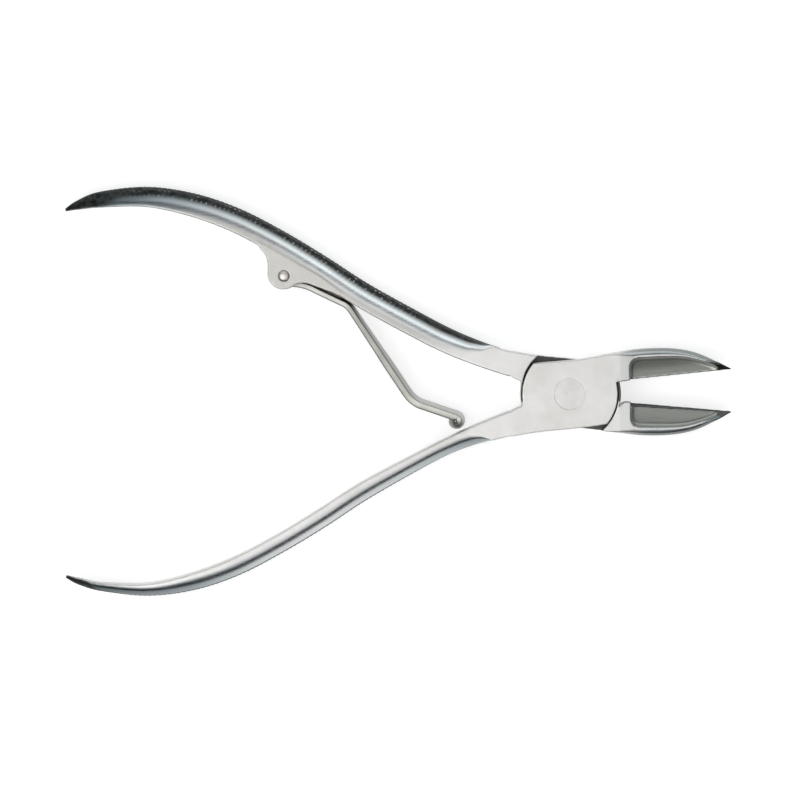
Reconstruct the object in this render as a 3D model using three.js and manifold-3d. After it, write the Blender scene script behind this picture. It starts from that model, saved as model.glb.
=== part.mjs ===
// Lap-jointed nipper pliers with hollow-ground jaws, long bowed handles and a riveted leaf return spring.
// Millimetres. +X points from the handles to the jaws, +Y to the rear lever's handle, +Z out of the front
// face. The origin is on the pivot axis, at the flat underside. The jaws are shown held open by the spring.
import * as THREE from "three";
import { mergeVertices } from "three/addons/utils/BufferGeometryUtils.js";
import Module from "manifold-3d";

const wasm = await Module();
wasm.setup();

const degrees = THREE.MathUtils.degToRad;

// Driving dimensions
const THICKNESS = 8; // of the joint, the lug and the middle of the handles
const MID_Z = THICKNESS / 2;
const LAP_GAP = 0.1; // between the two lap plates
const FRONT_PLATE_RADIUS = 9.6; // round ends of the lap plates, about the pivot axis
const REAR_PLATE_RADIUS = 9.9;
const SHOULDER_GAP = 0.35; // between a plate's round end and the other lever's shoulder
const FIT = 0.06; // radial clearance of the rivets in their holes

const PIVOT_HEAD_RADIUS = 3;
const PIVOT_SHANK_RADIUS = 2.3;
const PIVOT_HEAD_DEPTH = 1.3;
const PIVOT_HEAD_RIM = 0.4; // straight part of the head, above its countersink

const EDGE_Z = 5.2; // height of the cutting edges and of the floor of the hollows
const JAW_TIP_TOP_Z = 6.6;
const JAW_TIP_BOTTOM_Z = 3.2;
const EDGE_RELIEF = 1.9; // how far the back of the jaw is set back under the cutting edge
const EDGE_RELIEF_LEAD = 0.4; // how far before the throat the relief starts
const JAW_TIP = [32.7, 4.85];

const EAR_THICKNESS = 1.85;
const LUG_RADIUS = 3.2;
const LUG_CENTRE = new THREE.Vector2(-57.3, 24.1);
const SPRING_PIN = new THREE.Vector2(-57.2, 23.6);
const PIN_RADIUS = 1;
const PIN_DOME = 0.35;
const EYE_START = degrees(-12); // the strip's eye goes round the pin from here to below it
const EYE_END = degrees(270);
const KNEE_X = -53.2; // where the strip leaves the eye

const STRIP_WIDTH = 4;
const STRIP_THICKNESS = 1.1;
const FOOT_THICKNESS = 1.4; // the leaf's lower leg
const FOOT_TWIST = degrees(8);
const FLEX_POINT = new THREE.Vector2(-44.3, 17.75); // the leaf's first bend, where it bears on the handle
const FLEX_GAP = 0.5; // each side of the flex point
const LOWER_BEND = new THREE.Vector2(-31.6, -1.25);
const BEND_REACH = 1.8; // each side of the lower bend
const CURL_CENTRE = new THREE.Vector2(-22.8, -5.45);
const CURL_RADIUS = 0.75; // of the rolled end's centre line
const CURL_TURN = degrees(215);

const EDGE_CHAMFER = 0.4; // along the inner edges of the handles
const MOST_FLAT = 0.95; // largest share of a handle's thickness that its flat lands take
const ARC_STEPS = 12;
const ROUND_SEGMENTS = 64;
const PIN_SEGMENTS = 32;
const OVERSHOOT = 1; // how far a cutting solid reaches past the face it cuts

// The two levers are mirror images in plan, apart from the fields below.
// side is the side of the jaw: +1 for the front lever, whose handle is on -Y.
// throat is the inner end of the cutting edge, before the jaw is turned by jawTurn degrees.
const FRONT = {
  side: 1,
  handle: "front",
  land: 0.52,
  plateRadius: FRONT_PLATE_RADIUS,
  throat: [12.2, 2.75],
  jawTurn: 0,
};
const REAR = {
  side: -1,
  handle: "rear",
  land: 0.36,
  plateRadius: REAR_PLATE_RADIUS,
  throat: [10.9, 1.92],
  jawTurn: -2.4,
};

// Stations along a handle's centre line: x and distance from the tool's axis, width across Z,
// and the thickness of the front and of the rear lever there.
const HANDLE_STATIONS = [
  { x: -11.5, out: 5.85, wide: THICKNESS, front: 4.9, rear: 4.9, flat: MOST_FLAT },
  { x: -16.6, out: 7.5, wide: THICKNESS, front: 4.2, rear: 4.9, flat: MOST_FLAT },
  { x: -22.8, out: 9.9, wide: THICKNESS, front: 3.4, rear: 5.0 },
  { x: -29.0, out: 12.9, wide: THICKNESS, front: 3.3, rear: 5.1 },
  { x: -41.2, out: 19.6, wide: THICKNESS, front: 3.7, rear: 5.1 },
  { x: -50.0, out: 25.3, wide: THICKNESS, front: 3.8, rear: 5.0 },
  { x: -58.5, out: 30.4, wide: THICKNESS, front: 3.8, rear: 5.0 },
  { x: -67.0, out: 34.8, wide: THICKNESS, front: 3.8, rear: 4.9 },
  { x: -75.5, out: 37.8, wide: 7.6, front: 3.5, rear: 4.7 },
  { x: -84.5, out: 39.4, wide: 6.8, front: 2.6, rear: 4.1 },
  { x: -93.8, out: 38.9, wide: 5.2, front: 1.8, rear: 3.3 },
  { x: -98.4, out: 37.8, wide: 3.6, front: 1.4, rear: 2.0 },
  { x: -101.0, out: 36.8, wide: 1.6, front: 0.7, rear: 0.7 },
];
const RINGS_PER_STATION = 4;

function solidFrom(geometry) {
  const bare = geometry.clone();
  bare.deleteAttribute("normal");
  bare.deleteAttribute("uv");
  const merged = mergeVertices(bare, 1e-4);
  const vertProperties = new Float32Array(merged.attributes.position.array);
  const triVerts = new Uint32Array(merged.index.array);
  return new wasm.Manifold(new wasm.Mesh({ numProp: 3, vertProperties, triVerts }));
}

function geometryFrom(solid) {
  const { numVert, numProp, vertProperties, triVerts } = solid.getMesh();
  const positions = new Float32Array(numVert * 3);
  for (let i = 0; i < numVert; i++) {
    positions.set(vertProperties.subarray(i * numProp, i * numProp + 3), i * 3);
  }
  const geometry = new THREE.BufferGeometry();
  geometry.setAttribute("position", new THREE.BufferAttribute(positions, 3));
  geometry.setIndex(new THREE.BufferAttribute(triVerts, 1));
  geometry.computeVertexNormals();
  return geometry;
}

function piece(name, geometry, color, roughness) {
  const material = new THREE.MeshStandardMaterial({ color, roughness, metalness: 1 });
  const mesh = new THREE.Mesh(geometry, material);
  mesh.name = name;
  return mesh;
}

// A closed geometry through a list of rings of points, with a fan of triangles over each end ring.
function loft(rings) {
  const count = rings[0].length;
  const points = rings.flat();
  const faces = [];
  for (let r = 0; r < rings.length - 1; r++) {
    for (let i = 0; i < count; i++) {
      const [a, b] = [r * count + i, r * count + ((i + 1) % count)];
      faces.push(a, b, a + count, b, b + count, a + count);
    }
  }
  const last = (rings.length - 1) * count;
  for (let i = 1; i < count - 1; i++) {
    faces.push(0, i + 1, i);
    faces.push(last, last + i, last + i + 1);
  }
  let volume = 0;
  for (let i = 0; i < faces.length; i += 3) {
    const [a, b, c] = [points[faces[i]], points[faces[i + 1]], points[faces[i + 2]]];
    volume += a.dot(b.clone().cross(c));
  }
  if (volume < 0) faces.reverse();
  return new THREE.BufferGeometry().setFromPoints(points).setIndex(faces);
}

function prism(shape, lowZ, highZ) {
  const settings = { depth: highZ - lowZ, bevelEnabled: false, curveSegments: ARC_STEPS };
  return solidFrom(new THREE.ExtrudeGeometry(shape, settings).translate(0, 0, lowZ));
}

// A prism whose section is given as [y, z] points and which runs along +X, turned by angle about Z.
function prismAlongX(section, length, start, angle) {
  const shape = new THREE.Shape(section.map(([y, z]) => new THREE.Vector2(y, z)));
  const geometry = new THREE.ExtrudeGeometry(shape, { depth: length, bevelEnabled: false });
  const [x, y, z] = [new THREE.Vector3(1, 0, 0), new THREE.Vector3(0, 1, 0), new THREE.Vector3(0, 0, 1)];
  geometry.applyMatrix4(new THREE.Matrix4().makeBasis(y, z, x));
  geometry.rotateZ(angle).translate(start.x, start.y, 0);
  return solidFrom(geometry);
}

// Extends an outline from its present end by a smooth curve through some points, in straight steps.
function curveThrough(shape, points, steps) {
  const curve = new THREE.SplineCurve([shape.currentPoint.clone(), ...points]);
  for (const point of curve.getPoints(steps).slice(1)) shape.lineTo(point.x, point.y);
}

function disc(radius, lowZ, highZ) {
  const geometry = new THREE.CylinderGeometry(radius, radius, highZ - lowZ, ROUND_SEGMENTS);
  return solidFrom(geometry.rotateX(Math.PI / 2).translate(0, 0, (lowZ + highZ) / 2));
}

function turned(profile, segments) {
  const points = profile.map(([r, z]) => new THREE.Vector2(r, z));
  return new THREE.LatheGeometry(points, segments).rotateX(Math.PI / 2);
}

// Half-round section: flat on the side of the grip gap, with flat lands front and back, and round outside.
// Points are [distance outwards from the centre line, height from the middle].
function handleSection(thick, wide, flat) {
  const [inner, top] = [-thick / 2, wide / 2];
  const chamfer = Math.min(EDGE_CHAMFER, thick / 5);
  const landEnd = inner + Math.max(thick * flat, chamfer * 1.5);
  const section = [
    [inner + chamfer, -top],
    [inner, -top + chamfer],
    [inner, top - chamfer],
    [inner + chamfer, top],
  ];
  for (let i = 0; i <= ARC_STEPS; i++) {
    const turn = Math.PI / 2 - (Math.PI * i) / ARC_STEPS;
    section.push([landEnd + (thick / 2 - landEnd) * Math.cos(turn), top * Math.sin(turn)]);
  }
  return section;
}

function handle(lever) {
  const away = -lever.side;
  const line = new THREE.CatmullRomCurve3(
    HANDLE_STATIONS.map((s) => new THREE.Vector3(s.x, s.out * away, 0)),
    false,
    "catmullrom",
  );
  const sizes = new THREE.CatmullRomCurve3(
    HANDLE_STATIONS.map((s) => new THREE.Vector3(s[lever.handle], s.wide, s.flat ?? lever.land)),
    false,
    "catmullrom",
  );
  const steps = (HANDLE_STATIONS.length - 1) * RINGS_PER_STATION;
  const rings = [];
  for (let i = 0; i <= steps; i++) {
    const centre = line.getPoint(i / steps);
    const size = sizes.getPoint(i / steps);
    const along = line.getTangent(i / steps);
    const outwards = new THREE.Vector3(along.y, -along.x, 0).multiplyScalar(away);
    const flat = Math.min(size.z, MOST_FLAT);
    size.y = Math.min(size.y, THICKNESS);
    rings.push(
      handleSection(size.x, size.y, flat).map(([out, up]) =>
        centre.clone().addScaledVector(outwards, out).setZ(MID_Z + up),
      ),
    );
  }
  return solidFrom(loft(rings));
}

// Turns points of a jaw about the pivot and puts them on the lever's own side.
function jawPoints(lever, points) {
  const turn = degrees(lever.jawTurn);
  return points.map(([x, y]) => {
    const point = new THREE.Vector2(x, y).rotateAround(new THREE.Vector2(), turn);
    return point.setY(point.y * lever.side);
  });
}

// Neck, lap plate and jaw in plan.
function headShape(lever) {
  const { side, plateRadius } = lever;
  const on = (x, y) => new THREE.Vector2(x, y * side);
  const clockwise = side < 0;
  const arc = (from, to) =>
    shape.absarc(0, 0, plateRadius, degrees(from * side), degrees(to * side), clockwise);
  const [throat, tip] = jawPoints(lever, [lever.throat, JAW_TIP]);
  const shape = new THREE.Shape();
  shape.moveTo(-14.5, -8.1 * side);
  shape.lineTo(-11.2, -8.45 * side);
  curveThrough(shape, [on(-6, -7.6), on(1.6, -6.85), on(7.3, -6.1)], 6);
  arc(-39, 14);
  shape.lineTo(throat.x, throat.y);
  shape.lineTo(tip.x, tip.y);
  const back = jawPoints(lever, [[28.3, 7.0], [24.5, 8.45], [19.9, 9.1], [14.3, 8.95], [9.3, 8.2]]);
  curveThrough(shape, [...back, on(1.6, 6.9), on(-7.2, 6.15)], 18);
  arc(139.5, 188);
  shape.lineTo(-9.8, -2.5 * side);
  shape.lineTo(-11.2, -3.15 * side);
  shape.lineTo(-14.5, -5.2 * side);
  return shape;
}

// Tapers the jaw towards its tip, front and back.
function jawTaper() {
  const [root, end, beyond] = [10, JAW_TIP[0], JAW_TIP[0] + 2];
  const below = [
    [root, -OVERSHOOT],
    [root, 0],
    [end, JAW_TIP_BOTTOM_Z],
    [beyond, JAW_TIP_BOTTOM_Z],
    [beyond, -OVERSHOOT],
  ];
  const above = [
    [root, THICKNESS + OVERSHOOT],
    [root, THICKNESS],
    [end, JAW_TIP_TOP_Z],
    [beyond, JAW_TIP_TOP_Z],
    [beyond, THICKNESS + OVERSHOOT],
  ];
  const halfSpan = 15;
  return [below, above].map((points) => {
    const shape = new THREE.Shape(points.map(([x, z]) => new THREE.Vector2(x, z)));
    const geometry = new THREE.ExtrudeGeometry(shape, { depth: 2 * halfSpan, bevelEnabled: false });
    return solidFrom(geometry.rotateX(Math.PI / 2).translate(0, halfSpan, 0));
  });
}

// The ground hollow on the front of a jaw, open towards the cutting edge.
function jawHollow(lever) {
  const [start, wallTop, corner, cornerEnd, ...rest] = jawPoints(lever, [
    [12.2, 1],
    [12.0, 5.4],
    [12.1, 7.1],
    [13.9, 7.3],
    [22, 7.5],
    [27.6, 6.35],
    [31.3, 5.1],
    [34.5, 3.6],
    [34.5, 1],
  ]);
  const shape = new THREE.Shape();
  shape.moveTo(start.x, start.y);
  shape.lineTo(wallTop.x, wallTop.y);
  shape.quadraticCurveTo(corner.x, corner.y, cornerEnd.x, cornerEnd.y);
  curveThrough(shape, rest.slice(0, -1), 8);
  shape.lineTo(rest.at(-1).x, rest.at(-1).y);
  return prism(shape, EDGE_Z, THICKNESS + OVERSHOOT);
}

// The wedge removed under the cutting edge, so that the edge is the jaw's foremost line.
function edgeRelief(lever) {
  const [throat, tip] = jawPoints(lever, [lever.throat, JAW_TIP]);
  const run = tip.clone().sub(throat);
  const start = throat.clone().addScaledVector(run.clone().normalize(), -EDGE_RELIEF_LEAD);
  const section = [
    [-EDGE_RELIEF, EDGE_Z],
    [0, EDGE_Z],
    [EDGE_RELIEF, -OVERSHOOT],
    [-EDGE_RELIEF, -OVERSHOOT],
  ].map(([y, z]) => [y * lever.side, z]);
  return prismAlongX(section, run.length() + 3 * OVERSHOOT, start, run.angle());
}

// The pivot rivet's profile, with a countersunk head at each end; grow widens it for the hole.
function pivotProfile(grow) {
  const [head, shank] = [PIVOT_HEAD_RADIUS + grow, PIVOT_SHANK_RADIUS + grow];
  const extra = grow > 0 ? OVERSHOOT : 0;
  return [
    [0, -extra],
    [head, -extra],
    [head, PIVOT_HEAD_RIM],
    [shank, PIVOT_HEAD_DEPTH],
    [shank, THICKNESS - PIVOT_HEAD_DEPTH],
    [head, THICKNESS - PIVOT_HEAD_RIM],
    [head, THICKNESS + extra],
    [0, THICKNESS + extra],
  ];
}

function lapLever(lever, pocketRadius, pocketLow, pocketHigh) {
  let body = prism(headShape(lever), 0, THICKNESS).add(handle(lever));
  for (const cut of jawTaper()) body = body.subtract(cut);
  body = body.subtract(jawHollow(lever)).subtract(edgeRelief(lever));
  body = body.subtract(disc(pocketRadius, pocketLow, pocketHigh));
  return body.subtract(solidFrom(turned(pivotProfile(FIT), ROUND_SEGMENTS)));
}

function frontLever() {
  return lapLever(FRONT, REAR_PLATE_RADIUS + SHOULDER_GAP, -OVERSHOOT, MID_Z + LAP_GAP / 2);
}

// One ear of the spring lug. It runs from the handle's inner face round the spring rivet.
function lugEar(lowZ, highZ) {
  const shape = new THREE.Shape();
  shape.moveTo(-62.5, 30.2);
  shape.lineTo(-61.9, 28.9);
  shape.quadraticCurveTo(-60.2, 27.6, -60.45, 24.6);
  shape.absarc(LUG_CENTRE.x, LUG_CENTRE.y, LUG_RADIUS, degrees(171), degrees(304), false);
  shape.quadraticCurveTo(-54.2, 22.4, -51.2, 22.5);
  shape.lineTo(-50, 24.4);
  return prism(shape, lowZ, highZ);
}

function rearLever() {
  const pocketRadius = FRONT_PLATE_RADIUS + SHOULDER_GAP;
  const body = lapLever(REAR, pocketRadius, MID_Z - LAP_GAP / 2, THICKNESS + OVERSHOOT);
  const hole = new THREE.CylinderGeometry(PIN_RADIUS + FIT, PIN_RADIUS + FIT, 3 * THICKNESS, PIN_SEGMENTS);
  hole.rotateX(Math.PI / 2).translate(SPRING_PIN.x, SPRING_PIN.y, 0);
  return body
    .add(lugEar(0, EAR_THICKNESS))
    .add(lugEar(THICKNESS - EAR_THICKNESS, THICKNESS))
    .subtract(solidFrom(hole));
}

function pivotRivet() {
  return turned(pivotProfile(0), ROUND_SEGMENTS);
}

// A plain pin with a slightly domed front end.
function springRivet() {
  const dome = [0.35, 0.7].map((share) => [
    PIN_RADIUS * Math.sqrt(1 - share ** 2),
    THICKNESS + PIN_DOME * share,
  ]);
  const profile = [[0, 0], [PIN_RADIUS, 0], [PIN_RADIUS, THICKNESS], ...dome, [0, THICKNESS + PIN_DOME]];
  return turned(profile, PIN_SEGMENTS).translate(SPRING_PIN.x, SPRING_PIN.y, 0);
}

// A flat strip on edge along a plan path. thick and twist are functions of the share of its length.
function strip(points, thick, twist) {
  const lengths = points.map(() => 0);
  for (let i = 1; i < points.length; i++) {
    lengths[i] = lengths[i - 1] + points[i].distanceTo(points[i - 1]);
  }
  const rings = points.map((point, i) => {
    const before = points[Math.max(i - 1, 0)];
    const after = points[Math.min(i + 1, points.length - 1)];
    const along = after.clone().sub(before).normalize();
    const share = lengths[i] / lengths.at(-1);
    const [half, tall, turn] = [thick(share) / 2, STRIP_WIDTH / 2, twist(share)];
    const corners = [[-half, -tall], [half, -tall], [half, tall], [-half, tall]];
    return corners.map(([out, up]) => {
      const across = out * Math.cos(turn) + up * Math.sin(turn);
      const height = up * Math.cos(turn) - out * Math.sin(turn);
      return new THREE.Vector3(point.x - along.y * across, point.y + along.x * across, MID_Z + height);
    });
  });
  return loft(rings);
}

// The strip's rolled eye round the spring rivet and its short run to the flex point.
function springRoot() {
  const eye = PIN_RADIUS + FIT + STRIP_THICKNESS / 2;
  const path = new THREE.Path();
  path.absarc(SPRING_PIN.x, SPRING_PIN.y, eye, EYE_START, EYE_END, false);
  const knee = new THREE.Vector2(KNEE_X, SPRING_PIN.y - eye);
  const run = FLEX_POINT.clone().sub(knee);
  const end = knee.clone().addScaledVector(run, 1 - FLEX_GAP / run.length());
  const past = knee.clone().addScaledVector(run, 0.2);
  path.quadraticCurveTo(knee.x, knee.y, past.x, past.y);
  path.lineTo(end.x, end.y);
  return strip(path.getPoints(2 * ARC_STEPS), () => STRIP_THICKNESS, () => 0);
}

// The leaf from the flex point to its rolled foot, which slides on the front lever's handle.
function springLeaf() {
  const run = LOWER_BEND.clone().sub(FLEX_POINT).normalize();
  const start = FLEX_POINT.clone().addScaledVector(run, FLEX_GAP);
  const bendStart = LOWER_BEND.clone().addScaledVector(run, -BEND_REACH);
  const foot = CURL_CENTRE.clone().sub(LOWER_BEND).normalize();
  const bendEnd = LOWER_BEND.clone().addScaledVector(foot, BEND_REACH);
  const meet = foot.angle() + Math.PI / 2;
  const path = new THREE.Path();
  path.moveTo(start.x, start.y);
  path.lineTo(bendStart.x, bendStart.y);
  path.quadraticCurveTo(LOWER_BEND.x, LOWER_BEND.y, bendEnd.x, bendEnd.y);
  path.absarc(CURL_CENTRE.x, CURL_CENTRE.y, CURL_RADIUS, meet, meet - CURL_TURN, true);
  const grown = (share) => THREE.MathUtils.smoothstep(share, 0.1, 0.6);
  const thick = (share) => {
    const rolled = THREE.MathUtils.smoothstep(share, 0.85, 0.93);
    return STRIP_THICKNESS + (FOOT_THICKNESS - STRIP_THICKNESS) * grown(share) * (1 - rolled);
  };
  return strip(path.getPoints(ARC_STEPS), thick, (share) => -FOOT_TWIST * grown(share));
}

const STEEL = 0xc9c8c4;
const SPRING_STEEL = 0xb9b8b0;

const pliers = new THREE.Group();
pliers.add(
  piece("front_lever", geometryFrom(frontLever()), STEEL, 0.35),
  piece("rear_lever", geometryFrom(rearLever()), STEEL, 0.35),
  piece("pivot_rivet", pivotRivet(), STEEL, 0.5),
  piece("spring_rivet", springRivet(), SPRING_STEEL, 0.3),
  piece("spring_root", springRoot(), SPRING_STEEL, 0.3),
  piece("spring_leaf", springLeaf(), SPRING_STEEL, 0.3),
);

export default pliers;
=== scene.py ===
"""Looks of the lap-jointed nipper pliers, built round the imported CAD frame.

Each lever is one distance field, sampled on a grid, turned into quads and drawn onto the exact surface, so
that its edges are rounded and its hollows are truly hollow. Lengths are millimetres until a mesh is made.
In plan a lever is described with its jaw on the positive side: out is the distance from the tool's axis.
"""

import math

import bpy
import numpy as np
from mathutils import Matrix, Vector


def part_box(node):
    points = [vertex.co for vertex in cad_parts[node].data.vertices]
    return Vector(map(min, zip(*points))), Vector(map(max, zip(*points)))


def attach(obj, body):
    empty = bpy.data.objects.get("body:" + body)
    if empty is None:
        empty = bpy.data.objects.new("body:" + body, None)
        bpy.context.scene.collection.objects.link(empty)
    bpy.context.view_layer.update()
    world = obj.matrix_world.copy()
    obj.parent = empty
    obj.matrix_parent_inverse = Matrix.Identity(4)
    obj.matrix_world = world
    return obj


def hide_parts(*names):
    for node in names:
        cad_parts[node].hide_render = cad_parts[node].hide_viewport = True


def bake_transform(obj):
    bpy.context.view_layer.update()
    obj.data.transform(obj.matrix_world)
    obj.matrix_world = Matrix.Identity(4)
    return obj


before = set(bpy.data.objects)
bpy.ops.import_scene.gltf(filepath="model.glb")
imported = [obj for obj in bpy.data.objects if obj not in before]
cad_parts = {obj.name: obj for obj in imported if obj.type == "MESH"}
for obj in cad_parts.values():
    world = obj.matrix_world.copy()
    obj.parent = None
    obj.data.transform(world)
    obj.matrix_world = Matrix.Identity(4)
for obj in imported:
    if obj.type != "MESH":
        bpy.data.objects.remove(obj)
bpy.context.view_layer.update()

MM = 0.001

# ---------------------------------------------------------------- sizes taken from the frame


def box_mm(node):
    low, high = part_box(node)
    return np.array(low) / MM, np.array(high) / MM


lever_low, lever_high = box_mm("front_lever")
pivot_low, pivot_high = box_mm("pivot_rivet")
pin_low, pin_high = box_mm("spring_rivet")

THICKNESS = lever_high[2] - lever_low[2]
MID_Z = THICKNESS / 2
PIVOT_RADIUS = (pivot_high[0] - pivot_low[0]) / 2
PIN_RADIUS = (pin_high[0] - pin_low[0]) / 2
PIN_CENTRE = (pin_low + pin_high)[:2] / 2
PIN_TOP = pin_high[2]

# ---------------------------------------------------------------- driving dimensions, in millimetres

CELL = 0.21  # step of the grid that the levers are sampled on
EDGE_RADIUS = 0.3
CRISP_RADIUS = 0.1
NECK_FILLET = 0.25  # between the handle and the head
CREASE_RADIUS = 0.3  # where the round back of a handle meets its flat land
LAP_GAP = 0.1
SHOULDER_GAP = 0.35
SHOULDER_NARROWING = 0.22  # of that gap at the inner end of the shoulder
FRONT_PLATE_RADIUS = 9.6
REAR_PLATE_RADIUS = 9.9
# The dark of that strip is painted shade, on the top of the rear lever's throat.
REAR_THROAT_RADIUS = 10.2  # the rear plate shows as a dark strip in the throat of the jaws

# Handle stations: x, distance of the centre line from the tool's axis, width across Z,
# and the thickness of the front and of the rear lever.
HANDLE_STATIONS = [
    (-11.5, 5.85, 8.0, 4.9, 4.9),
    (-16.6, 7.5, 8.0, 4.2, 4.9),
    (-22.8, 9.9, 8.0, 3.4, 5.0),
    (-29.0, 12.9, 8.0, 3.3, 5.1),
    (-41.2, 19.6, 8.0, 3.7, 5.1),
    (-50.0, 25.3, 8.0, 3.8, 5.0),
    (-58.5, 30.4, 8.0, 3.8, 5.0),
    (-67.0, 34.8, 8.0, 3.8, 4.9),
    (-75.5, 37.8, 7.6, 3.5, 4.7),
    (-84.5, 39.4, 6.8, 2.6, 4.1),
    (-93.8, 38.9, 5.2, 1.8, 3.3),
    (-98.4, 37.8, 3.6, 1.4, 2.0),
    (-101.0, 36.8, 1.6, 0.7, 0.7),
]
ROUND_OVERSIZE = 1.06  # the round back is taller than the flats, which cut it off at a crease

# Width of the flat land beside the round back, from the tip to the scoop where the round back ends.
FRONT_LAND = [
    (-101, 0.0), (-96, 0.15), (-90, 0.5), (-82, 0.95), (-70, 1.25), (-45, 1.3), (-27, 1.2),
    (-22, 1.35), (-19.9, 1.7), (-17.8, 2.8), (-16.4, 4.1), (-15.5, 5.0), (-11, 5.0),
]
REAR_LAND = [
    (-101, 0.0), (-86, 0.0), (-80, 0.35), (-72, 0.9), (-66, 1.2), (-58, 1.5), (-40, 1.5), (-26, 1.65),
    (-20.7, 2.3), (-17.8, 3.5), (-16.2, 4.9), (-15.5, 5.2), (-11, 5.2),
]
# Half height of the dark strip along the round back, as a share of the half width. It is raised texture and
# painted shade; the shade runs on past the texture towards the neck.
FRONT_GRIP_AND_SHADE = [(-101, 1.4), (-98, 1.1), (-94, 0.6), (-88, 0.42), (-30, 0.4), (-20, 0.3), (-15.5, 0.0)]
REAR_GRIP_AND_SHADE = [(-101, 1.4), (-97, 1.1), (-90, 0.84), (-80, 0.76), (-30, 0.76), (-18, 0.78), (-15.0, 0.6)]
# Brightness of the polished surfaces along each lever. It stands in for what they reflect in the photo.
FRONT_TONE = [
    (-101, 0.12), (-92, 0.22), (-82, 0.36), (-74, 0.5), (-62, 0.85), (-50, 0.97), (-34, 0.8), (-20, 0.5),
    (-13, 0.4), (-10, 1.0), (8, 1.05), (12, 0.8), (16, 0.65), (28, 0.6), (32.5, 0.1),
]
REAR_TONE = [
    (-101, 0.12), (-90, 0.32), (-78, 0.6), (-64, 1.05), (-48, 1.5), (-25, 1.3), (-10, 1.0), (12, 1.0),
    (16, 0.55), (28, 0.4), (32.5, 0.08),
]
GRIP_ENDS = (-91.0, -30.0)  # the raised texture fades out around these
GRIP_PITCH = 0.95
GRIP_HEIGHT = 0.07

JAW_ROOT_X = 10.0
JAW_TIP = (32.7, 4.85)
JAW_TIP_TOP_Z = 6.6
JAW_TIP_BOTTOM_Z = 3.2
JAW_BACK_RADIUS = 1.5
EDGE_Z = 5.2
EDGE_RELIEF = 1.9 / 5.7  # slope of the relief under the cutting edge
KEEP_CLEAR = 20  # farther off than anything that the relief or the bevel could cut
FINE_RADIUS = 0.05  # of the edges that the relief and the bevel make
BEVEL_RISE = 0.75  # of the bevel along the cutting edge, as a share of its width
HOLLOW_CORNER = 0.9
HOLLOW_DISH = 0.3
HOLLOW_MIDDLE = 2.4  # from the cutting edge to the deepest line of the dish
HOLLOW_RIM_RADIUS = 0.18

EAR_THICKNESS = 1.85
EAR_EDGE_RADIUS = 0.14
EAR_FILLET = 0.3
EAR_HOLE_CLEARANCE = 0.05
LUG_RADIUS = 3.2
LUG_CENTRE = (-57.3, 24.1)
LUG_ARC = (171, 304)  # degrees of its round end

HEAD_OVERSIZE = 0.12  # of the pivot's heads over its shank, in radius
HEAD_PROUD = 0.004
HEAD_RIM = 0.02
HEAD_DEPTH = 1.3
BORE_CLEARANCE = 0.02
SHANK_RADIUS = 2.3
PIN_DOME = 0.3
PIN_CHAMFER = 0.15

STRIP_WIDTH = 4.0
STRIP_THICKNESS = 1.1
FOOT_THICKNESS = 1.4
FOOT_TWIST = math.radians(11)
ROOT_TWIST_SHARE = 0.8
STRIP_CORNER = 0.16
STRIP_STEP = 0.15  # between the rings of the strip's mesh
ROLL_THINNING = 0.55
EYE_CLEARANCE = 0.06
EYE_RADIUS = PIN_RADIUS + EYE_CLEARANCE + STRIP_THICKNESS / 2
EYE_LENGTH = EYE_RADIUS * math.radians(280)
KNEE = np.array([-53.2, PIN_CENTRE[1] - EYE_RADIUS])
FLEX_POINT = np.array([-44.3, 17.75])
LOWER_BEND = np.array([-31.6, -1.25])
CURL_CENTRE = np.array([-22.8, -5.45])
CURL_RADIUS = 0.95
CURL_TURN = math.radians(430)
CURL_INNER_RADIUS = 0.35

LEVERS = {
    "front": {
        "node": "front_lever",
        "side": 1,
        "thick": 3,
        "plate": FRONT_PLATE_RADIUS,
        "throat_plate": FRONT_PLATE_RADIUS,
        "throat": (12.2, 2.75),
        "jaw_turn": 0.0,
        "bevel": (0.25, 0.2),
        "tone": FRONT_TONE,
        "hollow_painted_shade": [(0, 0.1), (1.2, 0.56), (2.0, 0.84), (2.8, 0.95), (6, 0.95)],
        "land": FRONT_LAND,
        "grip": FRONT_GRIP_AND_SHADE,
        "grip_soft": 0.07,
        "pocket": REAR_PLATE_RADIUS + SHOULDER_GAP,
        "pocket_side": -1,
    },
    "rear": {
        "node": "rear_lever",
        "side": -1,
        "thick": 4,
        "plate": REAR_PLATE_RADIUS,
        "throat_plate": REAR_THROAT_RADIUS,
        "throat": (10.9, 1.92),
        "jaw_turn": math.radians(-2.4),
        "bevel": (1.25, 0.4),
        "tone": REAR_TONE,
        "hollow_painted_shade": [(0, 0.74), (2.5, 0.72), (4.5, 0.55), (6, 0.5)],
        "land": REAR_LAND,
        "grip": REAR_GRIP_AND_SHADE,
        "grip_soft": 0.13,
        "pocket": FRONT_PLATE_RADIUS + SHOULDER_GAP,
        "pocket_side": 1,
    },
}

# ---------------------------------------------------------------- curves


def catmull_rom(points, steps):
    """A smooth curve through points, with a number of steps in each span."""
    points = np.asarray(points, float)
    ends = [2 * points[0] - points[1]], [2 * points[-1] - points[-2]]
    padded = np.concatenate([ends[0], points, ends[1]])
    share = np.linspace(0, 1, steps, endpoint=False)[:, None]
    rows = []
    for before, start, end, after in zip(padded, padded[1:], padded[2:], padded[3:]):
        leave = (end - before) / 2
        arrive = (after - start) / 2
        cubic = 2 * (start - end) + leave + arrive
        square = 3 * (end - start) - 2 * leave - arrive
        rows.append(start + share * (leave + share * (square + share * cubic)))
    return np.concatenate(rows + [points[-1:]])


def arc(centre, radius, start, end, steps=16):
    turn = np.linspace(math.radians(start), math.radians(end), steps)
    return np.asarray(centre) + radius * np.stack([np.cos(turn), np.sin(turn)], 1)


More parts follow.
